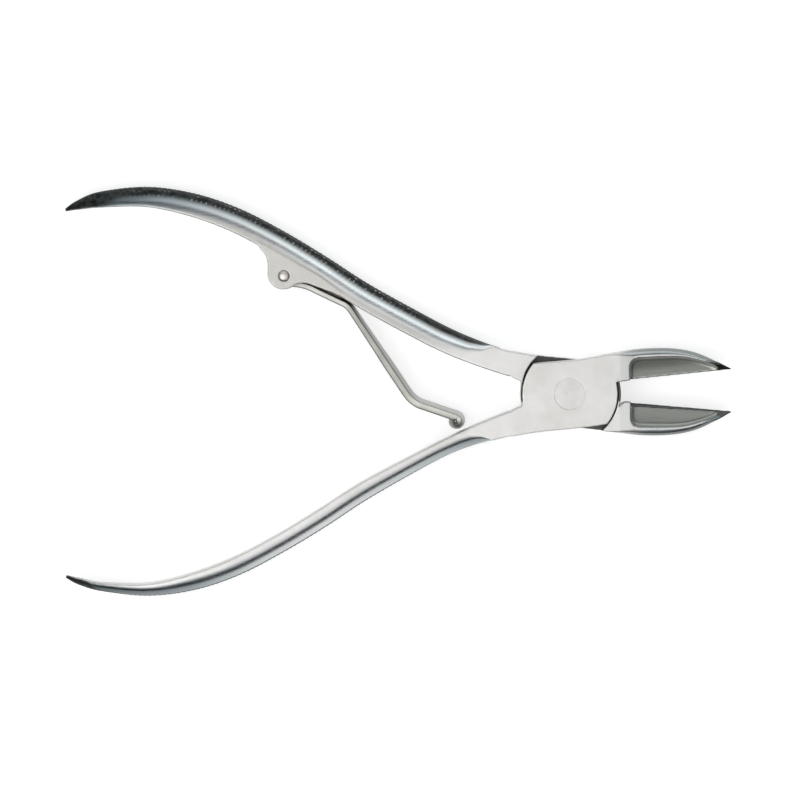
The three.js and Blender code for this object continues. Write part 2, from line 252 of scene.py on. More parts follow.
def bezier(start, control, end, steps=10):
    share = np.linspace(0, 1, steps)[:, None]
    start, control, end = (np.asarray(p, float) for p in (start, control, end))
    return (1 - share) ** 2 * start + 2 * share * (1 - share) * control + share**2 * end


def smoothstep(low, high, value):
    share = np.clip((value - low) / (high - low), 0, 1)
    return share * share * (3 - 2 * share)


def table(rows, at, blur):
    """A value given at a few places, read at other places with its corners rounded over blur."""
    places, values = np.asarray(rows, float).T
    offsets = blur * np.linspace(-1, 1, 9)
    weights = 1 - (offsets / (1.2 * blur)) ** 2
    total = sum(w * np.interp(at + o, places, values) for o, w in zip(offsets, weights))
    return total / weights.sum()


# ---------------------------------------------------------------- distance fields


def round_max(a, b, radius):
    """Where both solids are, with the edge between them rounded."""
    return np.minimum(np.maximum(a, b), -radius) + np.hypot(
        np.maximum(a + radius, 0), np.maximum(b + radius, 0)
    )


def round_min(a, b, radius):
    """Where either solid is, with the corner between them filled."""
    return -round_max(-a, -b, radius)


def outline_distance(x, y, corners):
    """Signed distance in plan to a closed outline, negative inside."""
    nearest = np.full(np.broadcast(x, y).shape, np.inf)
    inside = np.zeros(nearest.shape, bool)
    for (ax, ay), (bx, by) in zip(np.roll(corners, 1, axis=0), corners):
        run_x, run_y = bx - ax, by - ay
        off_x, off_y = x - ax, y - ay
        share = (off_x * run_x + off_y * run_y) / (run_x**2 + run_y**2)
        share = np.clip(share, 0, 1)
        nearest = np.minimum(nearest, (off_x - share * run_x) ** 2 + (off_y - share * run_y) ** 2)
        spans = (ay > y) != (by > y)
        inside ^= spans & ((off_x * run_y - off_y * run_x) * run_y < 0)
    return np.sqrt(nearest) * np.where(inside, -1, 1)


def jaw_points(lever, points):
    turn = lever["jaw_turn"]
    spin = np.array([[math.cos(turn), math.sin(turn)], [-math.sin(turn), math.cos(turn)]])
    return np.asarray(points, float) @ spin


def jaw_share(x):
    """How far along the jaw x is: 0 up to its root and 1 at its tip."""
    return np.maximum(x - JAW_ROOT_X, 0) / (JAW_TIP[0] - JAW_ROOT_X)


def jaw_top(x):
    """Height of the jaw's front face, which falls towards the tip."""
    return THICKNESS - (THICKNESS - JAW_TIP_TOP_Z) * jaw_share(x)


def head_outline(lever):
    """Neck, lap plate and jaw in plan."""
    throat, tip = jaw_points(lever, [lever["throat"], JAW_TIP])
    back = jaw_points(lever, [(28.3, 7.0), (24.5, 8.45), (19.9, 9.1), (14.3, 8.95), (9.3, 8.2)])
    far_side = [(-11.2, -8.45), (-6, -7.6), (1.6, -6.85), (7.3, -6.1)]
    if lever["throat_plate"] == lever["plate"]:
        plate = [[(7.46, -6.04)], arc((0, 0), lever["plate"], -39, 14)]
    else:
        plate = [arc((0, 0), lever["plate"], -39, -30, 4), arc((0, 0), lever["throat_plate"], -24, 14)]
    return np.concatenate(
        [
            [(-14.5, -8.1)],
            catmull_rom(far_side, 4),
            *plate,
            [throat],
            catmull_rom(np.concatenate([[tip], back, [(1.6, 6.9), (-7.2, 6.15)]]), 4),
            arc((0, 0), lever["plate"], 139.5, 188),
            [(-9.8, -2.5), (-11.2, -3.15), (-14.5, -5.2)],
        ]
    )


def hollow_outline(lever):
    """The ground hollow in plan, open past the cutting edge."""
    wall = [(12.2, 0.0), (12.0, 5.4)]
    corner = bezier(wall[-1], (12.1, 7.1), (13.9, 7.3), 6)[1:]
    back = catmull_rom([(13.9, 7.3), (22, 7.5), (27.2, 6.35), (30.1, 5.05), (32.0, 3.6)], 4)[1:]
    return jaw_points(lever, np.concatenate([wall, corner, back, [(32.0, 0.0)]]))


def ear_outline():
    """The spring lug's ear in plan, in the tool's own coordinates."""
    round_end = arc(LUG_CENTRE, LUG_RADIUS, *LUG_ARC, 24)
    return np.concatenate(
        [
            [(-62.5, 30.4), (-61.9, 28.9)],
            bezier((-61.9, 28.9), (-60.2, 27.6), round_end[0])[1:-1],
            round_end,
            bezier(round_end[-1], (-54.4, 22.5), (-52.4, 22.1))[1:],
            [(-46.2, 19.8), (-45.8, 20.2), (-50, 23.4)],
        ]
    )


class Lever:
    """One lever's field and the masks that its material reads."""

    def __init__(self, name):
        self.plan = LEVERS[name]
        self.name = name
        stations = catmull_rom(HANDLE_STATIONS, 24)[::-1]
        self.line_x, self.line_out, self.line_wide = stations[:, 0], stations[:, 1], stations[:, 2]
        self.line_thick = stations[:, self.plan["thick"]]
        self.slope = np.gradient(self.line_out, self.line_x)
        length = np.hypot(np.diff(self.line_x), np.diff(self.line_out))
        self.line_length = np.concatenate([[0], np.cumsum(length)])
        self.head = head_outline(self.plan)
        self.hollow = hollow_outline(self.plan)
        self.throat, self.tip = jaw_points(self.plan, [self.plan["throat"], JAW_TIP])

    def on_line(self, x, out):
        """The place on the handle's centre line nearest to a point, and the offsets across and past it."""
        place = np.clip(x + 0 * out, self.line_x[0], self.line_x[-1])
        for _ in range(6):
            slope = np.interp(place, self.line_x, self.slope)
            gap = out - np.interp(place, self.line_x, self.line_out)
            step = ((x - place) + gap * slope) / (1 + slope**2)
            place = np.clip(place + step, self.line_x[0], self.line_x[-1])
        slope = np.interp(place, self.line_x, self.slope)
        gap = out - np.interp(place, self.line_x, self.line_out)
        run = np.sqrt(1 + slope**2)
        return place, (gap - (x - place) * slope) / run, ((x - place) + gap * slope) / run

    def handle(self, x, out, z):
        """Distances to the flat sides and to the round back of the handle."""
        place, across, past = self.on_line(x, out)
        half = np.interp(place, self.line_x, self.line_thick) / 2
        top = np.minimum(np.interp(place, self.line_x, self.line_wide), THICKNESS) / 2
        land = np.minimum(table(self.plan["land"], place, 0.5), 2 * half - 0.06)
        cut = math.sqrt(1 - 1 / ROUND_OVERSIZE**2)
        deep = (2 * half - land) / (1 - cut)
        tall = top * ROUND_OVERSIZE
        reach = np.maximum(across - (half - deep), 0)
        height = np.abs(z - MID_Z)
        level = np.hypot(reach / deep, height / tall)
        steep = np.hypot(reach / deep**2, height / tall**2)
        back = level * (level - 1) / np.maximum(steep, 1e-6)
        corner = np.minimum(EDGE_RADIUS, half * 0.5)
        flats = round_max(-half - across, height - top, corner)
        return flats + 2 * np.abs(past), back + 2 * np.abs(past), place

    def jaw_edge(self, x, out):
        """Distance in plan from the line of the cutting edge, positive inside the jaw."""
        run = self.tip - self.throat
        run = run / np.hypot(*run)
        return (out - self.throat[1]) * run[0] - (x - self.throat[0]) * run[1]

    def before_throat(self, x):
        """Keeps the relief and the bevel off the joint."""
        return KEEP_CLEAR * (1 - smoothstep(self.throat[0] - 1.5, self.throat[0], x))

    def hollow_void(self, x, out, z):
        inwards = self.jaw_edge(x, out)
        dish = HOLLOW_DISH * (1 - ((inwards - HOLLOW_MIDDLE) / HOLLOW_MIDDLE) ** 2)
        floor = EDGE_Z - np.maximum(dish, -0.5)
        return round_max(outline_distance(x, out, self.hollow), floor - z, HOLLOW_CORNER)

    def head_solid(self, x, out, z):
        bottom = JAW_TIP_BOTTOM_Z * jaw_share(x)
        inwards = self.jaw_edge(x, out)
        backed = smoothstep(7.0, 14.0, x) * smoothstep(0.6, 2.8, inwards)
        radius = EDGE_RADIUS * 0.5 + (JAW_BACK_RADIUS - EDGE_RADIUS * 0.5) * backed
        plan = outline_distance(x, out, self.head)
        solid = round_max(plan, z - jaw_top(x), radius)
        solid = round_max(solid, bottom - z, radius)
        solid = round_max(solid, -self.hollow_void(x, out, z), HOLLOW_RIM_RADIUS)
        relief = (EDGE_Z - z) * EDGE_RELIEF - inwards - self.before_throat(x)
        solid = round_max(solid, relief, FINE_RADIUS)
        below = EDGE_Z + 1 + 2.5 * smoothstep(20.0, 25.0, x)  # at the tip the bevel takes the wall too
        return round_max(solid, np.where(z < below, self.bevel(x, out, z), -1), FINE_RADIUS)

    def bevel(self, x, out, z):
        """Above the bevel that runs along the cutting edge, which narrows towards the tip."""
        share = np.clip((x - self.throat[0]) / (self.tip[0] - self.throat[0]), 0, 1)
        root, tip = self.plan["bevel"]
        run = root + (tip - root) * share
        above = (z - EDGE_Z) / BEVEL_RISE + run - self.jaw_edge(x, out)
        return above * BEVEL_RISE - self.before_throat(x)

    def field(self, x, y, z):
        out = y * self.plan["side"]
        flats, back, _ = self.handle(x, -out, z)
        solid = round_min(round_max(flats, back, CREASE_RADIUS), self.head_solid(x, out, z), NECK_FILLET)
        if self.name == "rear":
            solid = self.with_lug(solid, x, y, z)
        solid = np.maximum(solid, np.abs(z - MID_Z) - MID_Z)
        solid = round_max(solid, -self.pocket(x, y, z), CRISP_RADIUS)
        return np.maximum(solid, PIVOT_RADIUS - np.hypot(x, y))

    def pocket(self, x, y, z):
        """The half of the joint that is cut away for the other lever."""
        level = (z - MID_Z) * self.plan["pocket_side"] + LAP_GAP / 2
        from_pivot = np.hypot(x, y)
        outwards = -y * self.plan["side"] / np.maximum(from_pivot, 1.0)
        narrowing = SHOULDER_NARROWING * (1 - smoothstep(0.1, 0.6, outwards))
        return np.maximum(from_pivot - self.plan["pocket"] + narrowing, -level)

    def with_lug(self, solid, x, y, z):
        height = np.abs(z - MID_Z)
        plan = outline_distance(x, y, EAR)
        ear = round_max(plan, height - MID_Z, EAR_EDGE_RADIUS)
        ear = round_max(ear, MID_Z - EAR_THICKNESS - height, EAR_EDGE_RADIUS)
        hole = PIN_RADIUS + EAR_HOLE_CLEARANCE - np.hypot(x - PIN_CENTRE[0], y - PIN_CENTRE[1])
        return round_max(round_min(solid, ear, EAR_FILLET), hole, CRISP_RADIUS)

    def handle_masks(self, x, out, z):
        """The polished round back, its dark strip of texture and painted shade, the raised texture and the
        length along the lever.
        """
        flats, back, place = self.handle(x, -out, z)
        on_back = smoothstep(-0.12, 0.08, back - flats) * smoothstep(-0.5, -0.2, back)
        on_back = on_back * smoothstep(-12.0, -13.2, x)
        half = np.minimum(np.interp(place, self.line_x, self.line_wide), THICKNESS) / 2
        share = np.abs(z - MID_Z) / half
        limit = table(self.plan["grip"], place, 0.8)
        soft = self.plan["grip_soft"]
        grip = on_back * (1 - smoothstep(limit - soft, limit + soft, share)) * (x < -14)
        length = np.interp(place, self.line_x, self.line_length)
        window = smoothstep(GRIP_ENDS[0] - 2, GRIP_ENDS[0] + 3, place)
        window = window * (1 - smoothstep(GRIP_ENDS[1] - 4, GRIP_ENDS[1] + 2, place))
        turn = 2 * math.pi / GRIP_PITCH
        weave = np.cos(turn * (length + z) / 2) * np.cos(turn * (length - z) / 2)
        return on_back, grip, np.clip(weave, -0.4, 0.8) * window * grip, length

    def painted_shade_mask(self, x, y, z):
        """Painted shade on the faces of the lap, on the top of the rear lever's throat, and on the bevel.
        """
        out = y * self.plan["side"]
        inwards = self.jaw_edge(x, out)
        bevel = smoothstep(0.08, 0.02, np.abs(self.bevel(x, out, z))) * (z > JAW_TIP_BOTTOM_Z)
        near_front = smoothstep(THICKNESS - 1.6, THICKNESS - 0.4, z)
        throat = (x > 8.5) * (inwards < 0.2) * (self.name == "rear") * near_front
        lap = smoothstep(0.1, 0.03, np.abs(self.pocket(x, y, z)))
        return np.maximum(np.maximum(lap, throat), bevel * (x > self.throat[0]) * (inwards < 1.2))

    def rim_highlight_mask(self, x, out, z):
        """A painted highlight along the edge of the jaw's front face, beside the hollow."""
        beside = outline_distance(x, out, self.hollow)
        below = jaw_top(x) - z
        rim_highlight = smoothstep(0.55, 0.2, beside) * smoothstep(-0.15, 0.0, beside) * smoothstep(0.5, 0.1, below)
        return rim_highlight * (x > 13) * smoothstep(32.0, 29.0, x)

    def masks(self, points):
        """What the material reads: mostly shares. Tone is the brightness of a painted reflection, raised a
        height and lie a place.
        """
        x, y, z = points.T
        out = y * self.plan["side"]
        on_back, grip, raised, length = self.handle_masks(x, out, z)
        jaw = smoothstep(7.5, 13.0, x)
        on_jaw = x > JAW_ROOT_X
        return {
            "dark": self.painted_shade_mask(x, y, z).astype(float),
            "rim_highlight": self.rim_highlight_mask(x, out, z),
            # deep is the share of painted shade on the floor of the hollow
            "deep": table(self.plan["hollow_painted_shade"], self.jaw_edge(x, out), 0.5) * on_jaw,
            "tone": table(self.plan["tone"], x, 1.0),
            "land": smoothstep(-22, -32, x) if self.name == "rear" else smoothstep(-84, -98, x),
            "polish": np.maximum(on_back, jaw),
            "grip": grip,
            "raised": raised,
            "hollow": smoothstep(0.10, 0.0, np.abs(self.hollow_void(x, out, z))) * on_jaw,
            "jaw": jaw,
            "lie": np.stack([np.where(x < -12, length, x + 200), out, z], 1),
        }


EAR = ear_outline()

# ---------------------------------------------------------------- meshes


def surface_net(values):
    """Quads on the zero surface of a grid of values, in grid steps, facing the positive side."""
    strides = np.array([values.shape[1] * values.shape[2], values.shape[2], 1])
    rings, spots = [], []
    for axis in range(3):
        step = np.eye(3, dtype=int)[axis]
        ends = [slice(0, -1) if a == axis else slice(None) for a in range(3)]
        starts = [slice(1, None) if a == axis else slice(None) for a in range(3)]
        at = np.argwhere((values[tuple(ends)] < 0) != (values[tuple(starts)] < 0))
        here = values[tuple(at.T)]
        there = values[tuple((at + step).T)]
        spot = at.astype(float)
        spot[:, axis] += here / (here - there)
        base = at @ strides
        u, v = strides[(axis + 1) % 3], strides[(axis + 2) % 3]
        ring = np.stack([base, base - u, base - u - v, base - v], 1)
        ring[here > 0] = ring[here > 0][:, ::-1]
        rings.append(ring)
        spots.append(spot)
    rings, spots = np.concatenate(rings), np.concatenate(spots)
    cells, quads = np.unique(rings, return_inverse=True)
    quads = quads.reshape(rings.shape)
    counts = np.bincount(quads.ravel(), minlength=len(cells))
    sums = [np.bincount(quads.ravel(), np.repeat(spots[:, a], 4), len(cells)) for a in range(3)]
    return np.stack(sums, 1) / counts[:, None], quads


def gradient(field, points, step=0.02):
    parts = []
    for axis in range(3):
        shift = step * np.eye(3)[axis]
        ahead, behind = (points + shift).T, (points - shift).T
        parts.append((field(*ahead) - field(*behind)) / (2 * step))
    return np.stack(parts, 1)


def draw_onto(field, points, rounds=2):
    """Moves points along the field's slope until they lie on its zero surface."""
    for _ in range(rounds):
        slope = gradient(field, points)
        steep = np.maximum((slope**2).sum(1), 0.2)
        move = np.clip(field(*points.T) / steep, -0.5 * CELL, 0.5 * CELL)
        points = points - move[:, None] * slope
    return points


def mesh_object(name, points, faces, attributes=None):
    """A smooth mesh from points in millimetres. Faces with many corners, its end caps, stay flat."""
    mesh = bpy.data.meshes.new(name)
    mesh.from_pydata((np.asarray(points) * MM).tolist(), [], faces)
    for key, values in (attributes or {}).items():
        kind = "FLOAT_VECTOR" if values.ndim == 2 else "FLOAT"
        field = "vector" if values.ndim == 2 else "value"
        attribute = mesh.attributes.new(key, kind, "POINT")
        attribute.data.foreach_set(field, values.astype(np.float32).ravel())
    mesh.polygons.foreach_set("use_smooth", [len(p.vertices) <= 4 for p in mesh.polygons])
    mesh.update()
    obj = bpy.data.objects.new(name, mesh)
    bpy.context.scene.collection.objects.link(obj)
    return obj


def lever_object(name, lever, low, high):
    margin = 3 * CELL
    axes = [np.arange(a - margin, b + margin, CELL) for a, b in zip(low, high)]
    x, y, z = np.meshgrid(*axes, indexing="ij", sparse=True)
    steps, quads = surface_net(lever.field(x, y, z))
    points = np.array([axis[0] for axis in axes]) + CELL * steps
    points = draw_onto(lever.field, points)
    masks = lever.masks(points)
    normals = gradient(lever.field, points)
    normals /= np.maximum(np.linalg.norm(normals, axis=1), 1e-6)[:, None]
    masks["steep"] = smoothstep(0.85, 0.5, np.abs(normals[:, 2]))
    masks["wall"] = masks["hollow"] * smoothstep(0.97, 0.72, np.abs(normals[:, 2]))
    points = points + GRIP_HEIGHT * (masks["raised"] - 0.8 * masks["grip"])[:, None] * normals
    return mesh_object(name, points, quads.tolist(), masks)


def turned_object(name, profile, centre, segments=96):
    """A solid turned about Z. The profile is radius, height pairs that start and end on the axis."""
    turns = np.linspace(0, 2 * math.pi, segments, endpoint=False)
    inner = profile[1:-1]
    points = [(centre[0], centre[1], profile[0][1])]
    for radius, height in inner:
        ring = np.asarray(centre) + radius * np.stack([np.cos(turns), np.sin(turns)], 1)
        points += [(px, py, height) for px, py in ring]
    points.append((centre[0], centre[1], profile[-1][1]))
    last = len(points) - 1
    faces = [(0, 1 + (i + 1) % segments, 1 + i) for i in range(segments)]
    for row in range(len(inner) - 1):
        start = 1 + row * segments
        for i in range(segments):
            j = (i + 1) % segments
            faces.append((start + i, start + j, start + segments + j, start + segments + i))
    top = 1 + (len(inner) - 1) * segments
    faces += [(top + i, top + (i + 1) % segments, last) for i in range(segments)]
    return mesh_object(name, points, faces)


def pivot_profile():
    """Ground almost flush at both ends, with heads that just close over the rims of the bore."""
    radius = PIVOT_RADIUS + HEAD_OVERSIZE
    bore = PIVOT_RADIUS - BORE_CLEARANCE
    half = [(r, -HEAD_PROUD) for r in (0, 1.5, radius - 3 * HEAD_RIM, radius - HEAD_RIM)]
    half += [(radius, 0.0), (bore, 0.01), (bore, 0.4), (SHANK_RADIUS, HEAD_DEPTH)]
    return half + [(r, THICKNESS - z) for r, z in reversed(half)]


def pin_profile():
    """A plain pin, lightly domed in front."""
    turns = np.linspace(0.12, math.pi / 2, 10)[:-1]
    dome = [(PIN_RADIUS * math.cos(t), PIN_TOP - PIN_DOME + PIN_DOME * math.sin(t)) for t in turns]
    foot = [(0, 0), (PIN_RADIUS - PIN_CHAMFER, 0), (PIN_RADIUS, PIN_CHAMFER)]
    return foot + dome + [(0, PIN_TOP)]


def heading(start, end):
    return (end - start) / np.hypot(*(end - start))


def spring_path():
    """The strip's centre line in plan: eye, knee, first bend, leg, lower bend, foot and rolled end."""

    def bend(corner, before, after, reach):
        back, on = heading(corner, before), heading(corner, after)
        return bezier(corner + back * reach, corner, corner + on * reach, 12)

    eye = arc(PIN_CENTRE, EYE_RADIUS, -12, 268, 48)
    knee = bezier(eye[-1], KNEE, KNEE + 0.2 * (FLEX_POINT - KNEE), 10)[1:]
    first = bend(FLEX_POINT, KNEE, LOWER_BEND, 1.1)
    lower = bend(LOWER_BEND, FLEX_POINT, CURL_CENTRE, 1.8)
    foot = CURL_CENTRE - LOWER_BEND
    meet = math.atan2(foot[1], foot[0]) + math.pi / 2
    share = np.linspace(0, 1, 48)
    radius = CURL_RADIUS + (CURL_INNER_RADIUS - CURL_RADIUS) * smoothstep(0.35, 1.0, share)
    turn = meet - CURL_TURN * share
    roll = CURL_CENTRE + np.stack([radius * np.cos(turn), radius * np.sin(turn)], 1)
    return np.concatenate([eye, knee, first, lower, roll])


def even_steps(path, step):
    lengths = np.concatenate([[0], np.cumsum(np.hypot(*np.diff(path, axis=0).T))])
    places = np.linspace(0, lengths[-1], int(lengths[-1] / step) + 1)
    return np.stack([np.interp(places, lengths, path[:, a]) for a in (0, 1)], 1), places


def strip_corners():
    """Rounded corners of the strip's section: which side, which end, and the offset round the corner."""
    corners = []
    for quarter, (side, end) in enumerate(((1, 1), (-1, 1), (-1, -1), (1, -1))):
        for angle in np.radians(np.linspace(90 * quarter, 90 * quarter + 90, 4)):
            corners.append((side, end, math.cos(angle) * STRIP_CORNER, math.sin(angle) * STRIP_CORNER))
    return corners


def strip_rings(path, thick, turn):
    """The strip's section at every step of its path, twisted by turn."""
    along = np.gradient(path, axis=0)
    along /= np.hypot(*along.T)[:, None]
    rows = []
    for side, end, dx, dy in strip_corners():
        out = side * (thick / 2 - STRIP_CORNER) + dx
        up = end * (STRIP_WIDTH / 2 - STRIP_CORNER) + dy
        across = out * np.cos(turn) + up * np.sin(turn)
        height = up * np.cos(turn) - out * np.sin(turn)
        plan_x = path[:, 0] - along[:, 1] * across
        plan_y = path[:, 1] + along[:, 0] * across
        rows.append(np.stack([plan_x, plan_y, MID_Z + height], 1))
    return np.stack(rows, 1)


def tube_faces(rings, count):
    """Quads between rings of points, and a cap on each end."""
    faces = []
    for ring in range(rings - 1):
        start, after = ring * count, (ring + 1) * count
        for i in range(count):
            j = (i + 1) % count
            faces.append((start + i, start + j, after + j, after + i))
    last = (rings - 1) * count
    return faces + [tuple(range(count - 1, -1, -1)), tuple(range(last, last + count))]


def place_nearest(path, places, spot):
    return places[np.argmin(np.hypot(*(path - spot).T))]


def spring_object(name):
    path, places = even_steps(spring_path(), STRIP_STEP)
    flex = place_nearest(path, places, FLEX_POINT)
    leaf = np.clip((places - flex) / (places[-1] - flex), 0, 1)
    grown = smoothstep(0.0, 0.4, leaf)
    root = smoothstep(1.5, 7.0, places - EYE_LENGTH)
    thick = STRIP_THICKNESS + (FOOT_THICKNESS - STRIP_THICKNESS) * grown * (1 - smoothstep(0.82, 0.9, leaf))
    thick = thick * (1 - ROLL_THINNING * smoothstep(0.89, 0.96, leaf))
    turn = -FOOT_TWIST * np.maximum(grown, ROOT_TWIST_SHARE * root)
    points = strip_rings(path, thick, turn)
    marks = spring_masks(points, path, places, flex, leaf)
    return mesh_object(name, points.reshape(-1, 3), tube_faces(*points.shape[:2]), marks)


def spring_masks(points, path, places, flex, leaf):
    """What the spring's material reads. Lie is a place on the strip, the rest are shares from 0 to 1."""
    corners = strip_corners()
    lie = np.zeros(points.shape)
    lie[:, :, 0] = places[:, None]
    lie[:, :, 1] = np.array([corner[0] for corner in corners])[None, :]
    lie[:, :, 2] = points[:, :, 2]
    on_face = np.array([float(abs(corner[2]) > 0.9 * STRIP_CORNER) for corner in corners])
    past_bend = smoothstep(-1.0, 1.0, places - flex)
    lower_bend = place_nearest(path, places, LOWER_BEND)
    leg = past_bend * (1 - smoothstep(lower_bend - 2.0, lower_bend + 2.0, places))
    # Painted shade on the broad faces of the root, and darker in the roll at the end.
    roll = np.maximum(np.outer(1 - past_bend, on_face), smoothstep(0.86, 0.91, leaf)[:, None])
    return {
        "lie": lie.reshape(-1, 3),
        "roll": roll.ravel(),
        "broad": np.outer(past_bend, on_face).ravel(),
        "leg": np.repeat(leg, len(corners)),
    }


# ---------------------------------------------------------------- materials

FINE_BUMP = 0.25
FINE_BUMP_DEPTH = 0.00002  # in metres


class Material:
    """A node material, with short calls for the nodes that the steels share."""

    def __init__(self, name):
        self.material = bpy.data.materials.new(name)
        self.material.use_nodes = True
        self.tree = self.material.node_tree
        self.shader = self.tree.nodes["Principled BSDF"]
        self.shader.inputs["Metallic"].default_value = 1.0

    def node(self, kind, inputs=None, **settings):
        node = self.tree.nodes.new(kind)
        for key, value in settings.items():
            setattr(node, key, value)
        for key, value in (inputs or {}).items():
            self.feed(node.inputs[key], value)
        return node

    def feed(self, socket, value):
        if isinstance(value, bpy.types.NodeSocket):
            self.tree.links.new(value, socket)
        else:
            socket.default_value = value

    def attribute(self, name, output="Fac"):
        return self.node("ShaderNodeAttribute", attribute_name=name).outputs[output]

    def math(self, operation, a, b=0.0):
        return self.node("ShaderNodeMath", {0: a, 1: b}, operation=operation).outputs[0]

    def mix(self, share, a, b):
        """Mixes two numbers."""
        node = self.node("ShaderNodeMix", {0: share, 2: a, 3: b}, data_type="FLOAT")
        return node.outputs[0]

    def blend(self, share, a, b, how="MIX"):
        """Mixes two colours."""
        node = self.node("ShaderNodeMix", {0: share, 6: a, 7: b}, data_type="RGBA", blend_type=how)
        return node.outputs[2]

    def grade(self, value, low, high, to_low=0.0, to_high=1.0):
        inputs = {0: value, 1: low, 2: high, 3: to_low, 4: to_high}
        return self.node("ShaderNodeMapRange", inputs).outputs[0]

    def noise(self, where, scale, detail=3.0, rough=0.55):
        inputs = {"Vector": where, "Scale": scale, "Detail": detail, "Roughness": rough}
        return self.node("ShaderNodeTexNoise", inputs).outputs["Fac"]

    def stretched(self, where, scale):
        inputs = {"Vector": where, "Scale": scale}
        return self.node("ShaderNodeMapping", inputs).outputs[0]

    def place(self):
        return self.node("ShaderNodeTexCoord").outputs["Object"]

    def bump(self, height, strength, distance):
        inputs = {"Height": height, "Strength": strength, "Distance": distance}
        return self.node("ShaderNodeBump", inputs).outputs[0]


def color(r, g, b):
    return (r, g, b, 1.0)


def polished_color(m, streak):
    """The round backs and the jaws: tone along the lever as a painted reflection, painted shade on the
    steep jaw sides and a painted highlight beside the hollow.
    """
    shade = m.blend(m.grade(streak, 0.3, 0.7), color(0.60, 0.625, 0.63), color(0.67, 0.69, 0.69))
    shade = m.blend(m.attribute("jaw"), shade, color(0.63, 0.64, 0.62))
    # Painted reflection: tone sets the brightness along the lever, with a cooler tint where it is low.
    tone = m.attribute("tone")
    cool = m.blend(m.grade(tone, 0.2, 0.9), color(0.88, 1.0, 1.06), color(1.0, 1.0, 1.0))
    shade = m.blend(1.0, shade, cool, "MULTIPLY")
    shade = m.blend(1.0, shade, tone, "MULTIPLY")
    # Painted shade on the steep sides of the jaws.
    side = m.math("MULTIPLY", m.attribute("jaw"), m.attribute("steep"))
    shade = m.blend(m.math("MULTIPLY", side, 0.75), shade, color(0.17, 0.18, 0.18))
    # Painted highlight along the jaw's front edge, beside the hollow.
    return m.blend(m.attribute("rim_highlight"), shade, color(0.80, 0.81, 0.80))


def hollow_color(m, brushed):
    """The ground floor of the hollow, with painted shade from light to dark across it, and its wall."""
    grain = m.grade(brushed, 0.3, 0.7)
    light_floor = m.blend(grain, color(0.43, 0.45, 0.42), color(0.58, 0.60, 0.56))
    dark_floor = m.blend(grain, color(0.05, 0.055, 0.048), color(0.085, 0.09, 0.08))
    floor = m.blend(m.attribute("deep"), light_floor, dark_floor)
    return m.blend(m.attribute("wall"), floor, color(0.52, 0.53, 0.50))


def grip_and_shade_color(m, place):
    """The dark strip: the texture, worn bright on its tops, and painted shade along the outer side of the
    round back.
    """
    fleck = m.noise(place, 900.0, 4.0)
    strip = m.blend(m.grade(fleck, 0.4, 0.62), color(0.016, 0.018, 0.018), color(0.05, 0.054, 0.053))
    rubbed = m.grade(m.noise(place, 1300.0, 3.0), 0.5, 0.66)
    worn = m.math("MULTIPLY", m.grade(m.attribute("raised"), 0.3, 0.8), rubbed)
    return m.blend(worn, strip, color(0.42, 0.42, 0.40))


def lever_steel():
    m = Material("lever_steel")
    place = m.place()
    lie = m.attribute("lie", "Vector")
    polish, hollow, grip = m.attribute("polish"), m.attribute("hollow"), m.attribute("grip")
    cloud = m.noise(place, 130.0, 4.0)
    grain = m.noise(place, 5200.0, 2.0)
    streak = m.noise(m.stretched(lie, (0.12, 2.6, 2.6)), 1.0, 2.0)
    brushed = m.noise(m.stretched(lie, (0.5, 14.0, 6.0)), 1.0, 3.0)

    matte = m.blend(m.grade(cloud, 0.35, 0.65), color(0.63, 0.62, 0.60), color(0.71, 0.705, 0.695))
    matte = m.blend(m.attribute("land"), matte, color(0.53, 0.525, 0.50))
    shade = m.blend(polish, matte, polished_color(m, streak))
    shade = m.blend(hollow, shade, hollow_color(m, brushed))
    # The dark strip of texture and painted shade along the round back.
    shade = m.blend(grip, shade, grip_and_shade_color(m, place))
    # Painted shade on the lap, the top of the rear throat and the bevel.
    shade = m.blend(m.attribute("dark"), shade, color(0.085, 0.088, 0.085))
    m.feed(m.shader.inputs["Base Color"], shade)
    m.feed(m.shader.inputs["Metallic"], m.mix(m.attribute("wall"), 1.0, 0.3))

    rough = m.mix(polish, m.grade(grain, 0.3, 0.7, 0.40, 0.52), m.grade(streak, 0.3, 0.7, 0.24, 0.33))
    rough = m.mix(hollow, rough, m.grade(brushed, 0.3, 0.7, 0.28, 0.42))
    rough = m.mix(grip, rough, 0.5)
    m.feed(m.shader.inputs["Roughness"], rough)

    fine = m.mix(polish, grain, m.math("MULTIPLY", streak, 0.12))
    fine = m.mix(hollow, fine, m.math("MULTIPLY", brushed, 0.9))
    m.feed(m.shader.inputs["Normal"], m.bump(fine, FINE_BUMP, FINE_BUMP_DEPTH))
    return m.material


def rivet_steel():
    m = Material("rivet_steel")
    place = m.place()
    cloud = m.noise(place, 260.0, 4.0)
    grain = m.noise(place, 5200.0, 2.0)
    shade = m.blend(m.grade(cloud, 0.35, 0.65), color(0.60, 0.59, 0.57), color(0.68, 0.675, 0.665))
    m.feed(m.shader.inputs["Base Color"], shade)
    m.feed(m.shader.inputs["Roughness"], m.grade(grain, 0.3, 0.7, 0.40, 0.52))
    m.feed(m.shader.inputs["Normal"], m.bump(grain, FINE_BUMP, FINE_BUMP_DEPTH))
    return m.material


def pin_steel():
    m = Material("pin_steel")
    cloud = m.noise(m.place(), 900.0, 4.0)
    shade = m.blend(m.grade(cloud, 0.35, 0.65), color(0.58, 0.55, 0.51), color(0.72, 0.69, 0.65))
    m.feed(m.shader.inputs["Base Color"], shade)
    m.feed(m.shader.inputs["Roughness"], m.grade(cloud, 0.3, 0.7, 0.34, 0.46))
    m.feed(m.shader.inputs["Normal"], m.bump(cloud, 0.2, 0.00003))
    return m.material


